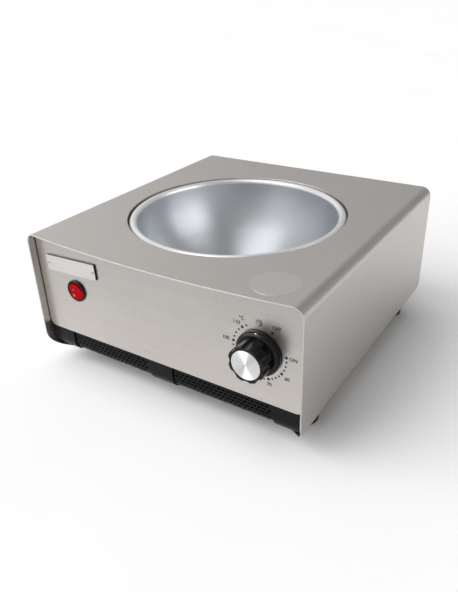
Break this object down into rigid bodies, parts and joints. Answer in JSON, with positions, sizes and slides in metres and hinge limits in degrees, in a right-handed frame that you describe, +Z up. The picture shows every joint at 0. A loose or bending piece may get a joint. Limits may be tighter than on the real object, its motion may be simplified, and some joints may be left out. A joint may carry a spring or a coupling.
{
  "type": "candle wax melter",
  "caption": "Table-top wax melter: bent steel housing with a round spun bowl sunk in its top, recessed panel with temperature dial, round rocker switch and black vented base.",
  "frame": {"origin": "centre of the bounding box at the ground under the feet", "axes": "+X to the right seen from the front, +Y from the control panel to the rear, +Z up through the bowl's mouth"},
  "size_m": [0.3, 0.3218, 0.147],
  "materials": {
    "satin_steel": "satin, fine vertical grain",
    "black_tray": "semi-gloss black enamel",
    "bowl_aluminium": "spun, bright satin",
    "plated_sheet": "plated",
    "heater_sheath": "heat-tinted sheath",
    "fixings": "bright plated",
    "thermostat_case": "plated",
    "shaft_steel": "turned",
    "knob_black": "gloss",
    "cap_aluminium": "turned face",
    "switch_black": "gloss",
    "switch_red": "translucent red gloss",
    "terminal_metal": "plated",
    "lamp_body": "matt",
    "lamp_lens": "clear dark red",
    "plate_metal": "bright satin, bare",
    "inlet_black": "matt",
    "terminal_ceramic": "glazed",
    "foot_rubber": "matt"
  },
  "bodies": {
    "housing": {"cover": "satin_steel", "front_panel": "satin_steel", "rear_panel": "satin_steel", "base_tray": "black_tray", "bowl": "bowl_aluminium", "support_ring": "plated_sheet", "heater_spider": "plated_sheet", "heat_shield": "plated_sheet", "shield_spacer": "plated_sheet", "heater_element": "heater_sheath", "bowl_stud": "fixings", "spider_nut": "fixings", "shield_nut": "fixings", "earth_nut": "fixings", "earth_stud": "fixings", "foot_screw_1": "fixings", "foot_screw_2": "fixings", "foot_screw_3": "fixings", "foot_screw_4": "fixings", "foot_nut_1": "fixings", "foot_nut_2": "fixings", "foot_nut_3": "fixings", "foot_nut_4": "fixings", "rear_screw_1": "fixings", "rear_screw_2": "fixings", "rear_screw_3": "fixings", "rear_screw_4": "fixings", "inlet_screw_1": "fixings", "inlet_screw_2": "fixings", "thermostat_screw_1": "fixings", "thermostat_screw_2": "fixings", "plate_rivet_1": "fixings", "plate_rivet_2": "fixings", "thermostat_body": "thermostat_case", "switch_body": "switch_black", "switch_blade_1": "terminal_metal", "switch_blade_2": "terminal_metal", "switch_blade_3": "terminal_metal", "inlet_pin_1": "terminal_metal", "inlet_pin_2": "terminal_metal", "inlet_pin_3": "terminal_metal", "lamp_body": "lamp_body", "lamp_lens": "lamp_lens", "name_plate": "plate_metal", "inlet_body": "inlet_black", "terminal_block": "terminal_ceramic", "foot_1": "foot_rubber", "foot_2": "foot_rubber", "foot_3": "foot_rubber", "foot_4": "foot_rubber"},
    "dial": {"thermostat_shaft": "shaft_steel", "knob": "knob_black", "knob_cap": "cap_aluminium"},
    "rocker": {"switch_rocker": "switch_red"}
  },
  "joints": [
    {"name": "dial_turn", "type": "hinge", "parent": "housing", "child": "dial", "pos_m": [0.1065, -0.1391, 0.0904], "axis": [0, 1, 0], "range_deg": [0, 293]},
    {"name": "rocker_tilt", "type": "hinge", "parent": "housing", "child": "rocker", "pos_m": [-0.0999, -0.1361, 0.093], "axis": [-1, 0, 0], "range_deg": [0, 10]}
  ]
}
